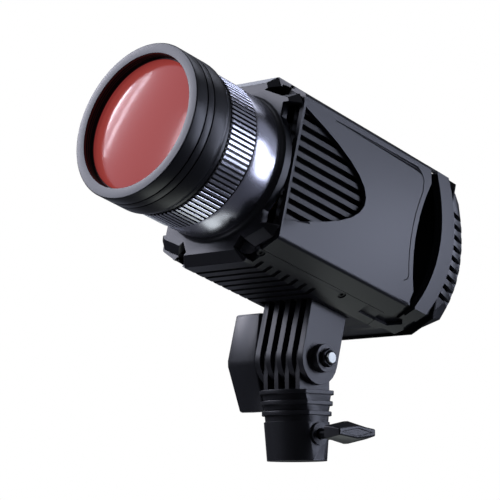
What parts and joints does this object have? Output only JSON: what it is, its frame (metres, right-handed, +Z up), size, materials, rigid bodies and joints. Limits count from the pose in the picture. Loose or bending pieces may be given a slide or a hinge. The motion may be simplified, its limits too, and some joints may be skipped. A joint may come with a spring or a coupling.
{
  "type": "led studio light",
  "caption": "Focusing studio light: vented octagonal head with a round lens barrel and red filter, tilting on a finned clamp above a socket for a light stand.",
  "frame": {"origin": "centre of the mouth of the stand socket, in the plane of the receiver's foot", "axes": "+Z up along the socket's axis, -Y the way the lamp points (15.5 degrees above level at rest), +X the side of the thumb screw"},
  "size_m": [0.0891, 0.2417, 0.2188],
  "materials": {
    "body_coat": "dark grey powder coat, satin",
    "bracket_coat": "dark grey powder coat on castings, satin",
    "black_anodised": "black anodised, satin",
    "knurl_anodised": "black anodised, gloss, knurled",
    "polished_metal": "polished, smoked clear coat",
    "bright_steel": "bright zinc plated",
    "black_steel": "black oxide",
    "bare_aluminium": "bare, extruded",
    "knob_plastic": "moulded nylon, satin",
    "black_plastic": "moulded, fine matte texture",
    "deep_black": "matte black",
    "gloss_black": "gloss",
    "red_filter": "polished acrylic, tinted through",
    "clear_glass": "polished",
    "phosphor": "phosphor gel on a ceramic board",
    "board_green": "solder mask",
    "brass": "machined"
  },
  "bodies": {
    "stand": {"stand_receiver": "bracket_coat"},
    "pressure_pad": {"pressure_pad": "brass"},
    "thumb_screw": {"thumb_screw": "black_steel", "thumb_screw_grip": "knob_plastic"},
    "tilt_lock": {"tilt_lock_knob": "knob_plastic", "pivot_bolt": "bright_steel"},
    "focus_ring": {"focus_ring": "knurl_anodised"},
    "lens_barrel": {"lens_barrel": "black_anodised", "filter_retaining_ring": "black_anodised", "red_filter": "red_filter", "condenser_lens": "clear_glass", "lens_retainer": "black_anodised"},
    "fan_rotor": {"fan_rotor": "black_plastic"},
    "dimmer_dial": {"dimmer_dial": "black_plastic"},
    "rocker_switch": {"rocker_switch": "gloss_black"},
    "mode_button": {"mode_button": "black_plastic"},
    "effect_button": {"effect_button": "black_plastic"},
    "head": {"cob_led": "phosphor", "control_panel": "black_plastic", "display_window": "gloss_black", "driver_board": "board_green", "fan_frame": "black_plastic", "front_bezel": "body_coat", "grip_core": "deep_black", "guide_tube": "bare_aluminium", "heat_sink": "bare_aluminium", "hoop_handle": "body_coat", "housing_screw_1": "black_steel", "housing_screw_2": "black_steel", "housing_screw_3": "black_steel", "housing_screw_4": "black_steel", "main_housing": "body_coat", "mains_inlet": "black_plastic", "panel_screw_1": "bright_steel", "panel_screw_2": "bright_steel", "panel_screw_3": "bright_steel", "panel_screw_4": "bright_steel", "pivot_nut": "black_steel", "polished_ring": "polished_metal", "rear_bulkhead": "deep_black", "rear_shell": "body_coat", "reflector": "polished_metal", "side_panel_left": "body_coat", "side_panel_right": "body_coat", "tilt_yoke": "bracket_coat", "vent_grille_left": "black_plastic", "vent_grille_right": "black_plastic"}
  },
  "joints": [
    {"name": "head_tilt", "type": "hinge", "parent": "stand", "child": "head", "pos_m": [0, 0, 0.056], "axis": [1, 0, 0], "range_deg": [-74.5, 105.5]},
    {"name": "tilt_lock_turn", "type": "hinge", "parent": "head", "child": "tilt_lock", "pos_m": [0, 0, 0.056], "axis": [1, 0, 0], "range_deg": [0, 270]},
    {"name": "pad_slide", "type": "slide", "parent": "stand", "child": "pressure_pad", "axis": [1, 0, 0], "range_m": [-0.0015, 0.005]},
    {"name": "thumb_screw_turn", "type": "hinge", "parent": "pressure_pad", "child": "thumb_screw", "pos_m": [0.0162, 0, 0.0146], "axis": [1, 0, 0], "range_deg": [-450, 1460]},
    {"name": "focus_turn", "type": "hinge", "parent": "head", "child": "focus_ring", "pos_m": [0, -0.08604, 0.16579], "axis": [0, -0.9636, 0.2672], "range_deg": [0, 90]},
    {"name": "barrel_slide", "type": "slide", "parent": "head", "child": "lens_barrel", "axis": [0, -0.9636, 0.2672], "range_m": [0, 0.0121]},
    {"name": "fan_spin", "type": "hinge", "parent": "head", "child": "fan_rotor", "pos_m": [0, 0.01924, 0.13659], "axis": [0, -0.9636, 0.2672], "continuous": true},
    {"name": "dimmer_turn", "type": "hinge", "parent": "head", "child": "dimmer_dial", "pos_m": [0, 0.0957, 0.11744], "axis": [0, 0.9636, -0.2672], "range_deg": [-140, 140]},
    {"name": "rocker_tip", "type": "hinge", "parent": "head", "child": "rocker_switch", "pos_m": [0.01541, 0.08726, 0.09636], "axis": [1, 0, 0], "range_deg": [0, 18]},
    {"name": "mode_press", "type": "slide", "parent": "head", "child": "mode_button", "axis": [0, -0.9636, 0.2672], "range_m": [0, 0.001], "stiffness_N_per_m": 300, "springref_m": -0.001},
    {"name": "effect_press", "type": "slide", "parent": "head", "child": "effect_button", "axis": [0, -0.9636, 0.2672], "range_m": [0, 0.001], "stiffness_N_per_m": 300, "springref_m": -0.001}
  ],
  "couplings": [
    {"joint": "barrel_slide", "follows": "focus_turn", "m_per_rad": 0.0076394},
    {"joint": "thumb_screw_turn", "follows": "pad_slide", "rad_per_m": 5026.5}
  ]
}
